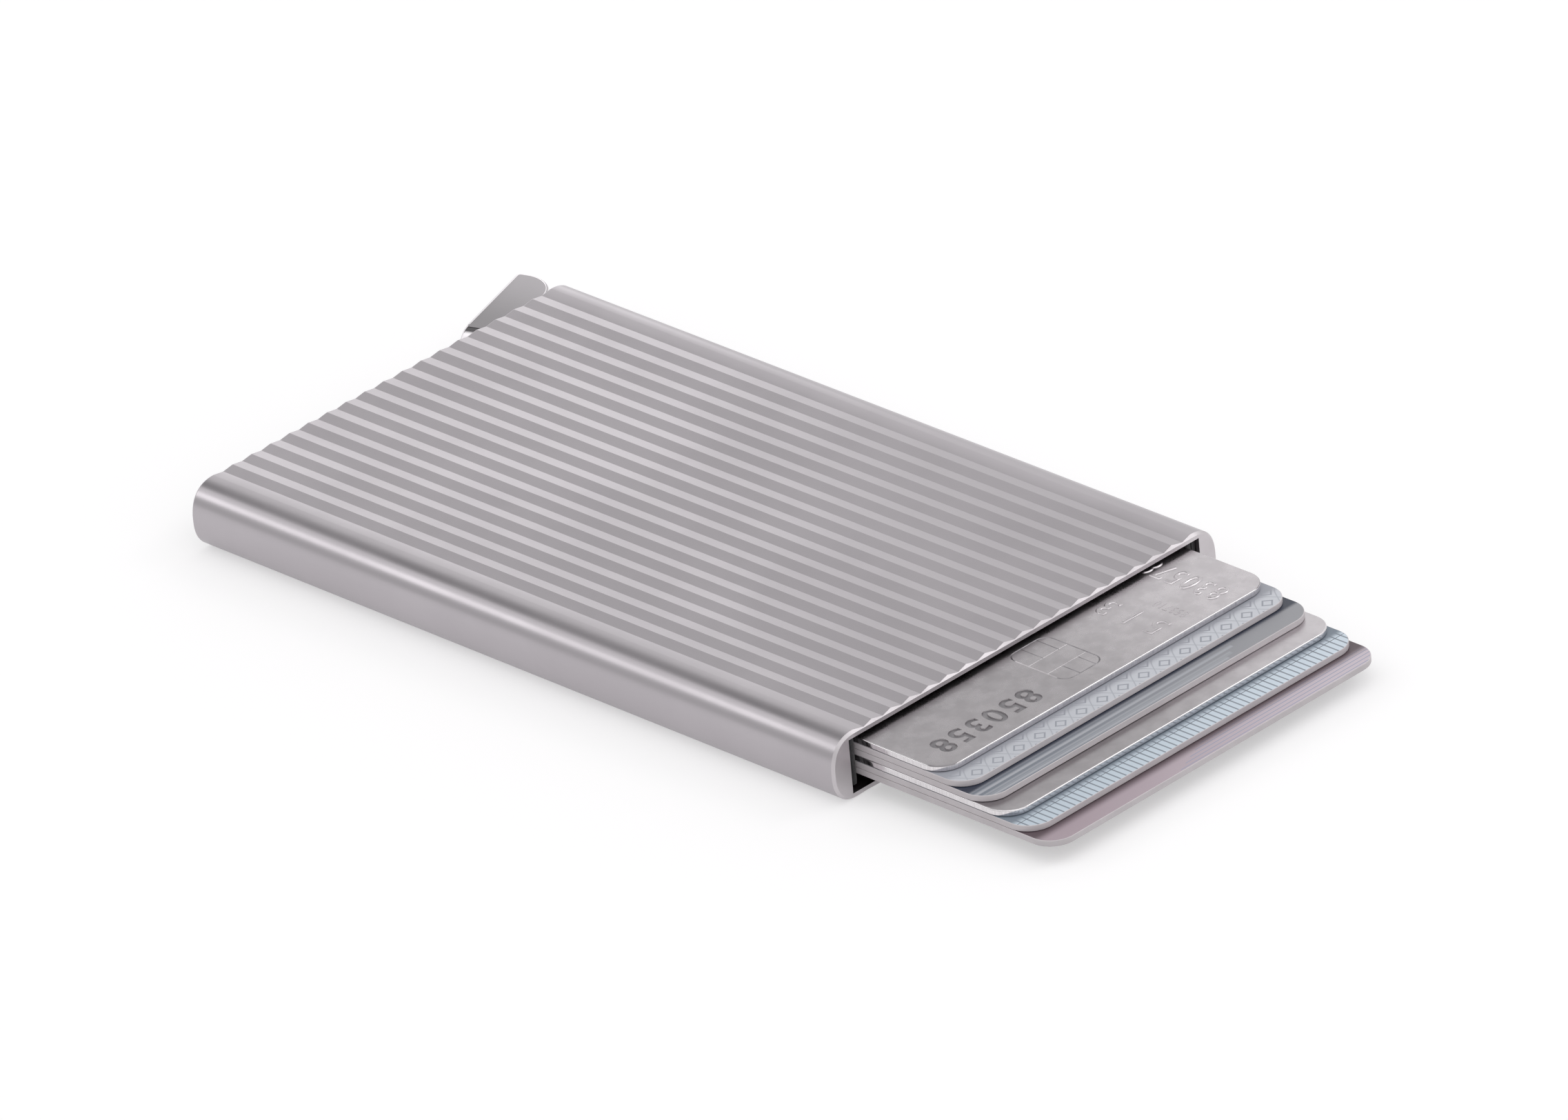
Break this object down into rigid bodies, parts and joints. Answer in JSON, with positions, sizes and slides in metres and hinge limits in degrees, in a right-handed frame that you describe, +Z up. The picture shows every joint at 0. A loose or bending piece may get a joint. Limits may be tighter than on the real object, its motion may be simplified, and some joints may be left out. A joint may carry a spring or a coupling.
{
  "type": "pop up card holder",
  "caption": "Slim fluted metal card sleeve whose corner lever swings out and pushes a stack of cards out of the mouth as a stepped fan.",
  "frame": {"origin": "centre of the sleeve's underside, on the middle ridge that it rests on", "axes": "+Z up through the thickness, -Y out of the mouth the way the cards travel, +Y towards the lever end, +X towards the lever's corner"},
  "size_m": [0.063, 0.1388, 0.0084],
  "materials": {
    "anodised_aluminium": "satin anodised, warm grey",
    "black_plastic": "fine matt moulding",
    "steel": "plain bright steel",
    "rubber": "matt",
    "black_felt": "short dense pile",
    "chrome": "polished",
    "card_brushed_metal": "satin face, polished rim",
    "card_pale_blue": "printed, satin",
    "card_slate": "printed, satin",
    "card_satin_metal": "satin face, polished rim",
    "card_sky": "printed, satin",
    "card_mauve": "printed, satin"
  },
  "bodies": {
    "holder": {"sleeve": "anodised_aluminium", "base": "black_plastic", "mechanism_cover": "steel", "pivot_pin": "steel", "pivot_washer_lower": "steel", "pivot_washer_upper": "steel", "lever_stop": "rubber", "detent_spring": "steel", "strip_carrier_left": "black_plastic", "strip_carrier_right": "black_plastic", "friction_strip_left": "black_felt", "friction_strip_right": "black_felt"},
    "lever": {"lever_arm": "black_plastic", "lever_tab": "chrome", "tab_pin_1": "steel", "tab_pin_2": "steel"},
    "card_1_body": {"card_1": "card_brushed_metal"},
    "card_2_body": {"card_2": "card_pale_blue"},
    "card_3_body": {"card_3": "card_slate"},
    "card_4_body": {"card_4": "card_satin_metal"},
    "card_5_body": {"card_5": "card_sky"},
    "card_6_body": {"card_6": "card_mauve"}
  },
  "joints": [
    {"name": "lever_hinge", "type": "hinge", "parent": "holder", "child": "lever", "pos_m": [0.008, 0.0475, 0.0042], "axis": [0, 0, 1], "range_deg": [-18.15, 0]},
    {"name": "card_1_slide", "type": "slide", "parent": "holder", "child": "card_1_body", "axis": [0, -1, 0], "range_m": [-0.014, 0]},
    {"name": "card_2_slide", "type": "slide", "parent": "holder", "child": "card_2_body", "axis": [0, -1, 0], "range_m": [-0.01732, 0]},
    {"name": "card_3_slide", "type": "slide", "parent": "holder", "child": "card_3_body", "axis": [0, -1, 0], "range_m": [-0.02064, 0]},
    {"name": "card_4_slide", "type": "slide", "parent": "holder", "child": "card_4_body", "axis": [0, -1, 0], "range_m": [-0.02396, 0]},
    {"name": "card_5_slide", "type": "slide", "parent": "holder", "child": "card_5_body", "axis": [0, -1, 0], "range_m": [-0.02728, 0]},
    {"name": "card_6_slide", "type": "slide", "parent": "holder", "child": "card_6_body", "axis": [0, -1, 0], "range_m": [-0.0306, 0]}
  ],
  "couplings": [
    {"joint": "card_1_slide", "follows": "lever_hinge", "m_per_rad": 0.044195},
    {"joint": "card_2_slide", "follows": "lever_hinge", "m_per_rad": 0.054675},
    {"joint": "card_3_slide", "follows": "lever_hinge", "m_per_rad": 0.065156},
    {"joint": "card_4_slide", "follows": "lever_hinge", "m_per_rad": 0.075636},
    {"joint": "card_5_slide", "follows": "lever_hinge", "m_per_rad": 0.086117},
    {"joint": "card_6_slide", "follows": "lever_hinge", "m_per_rad": 0.096597}
  ]
}
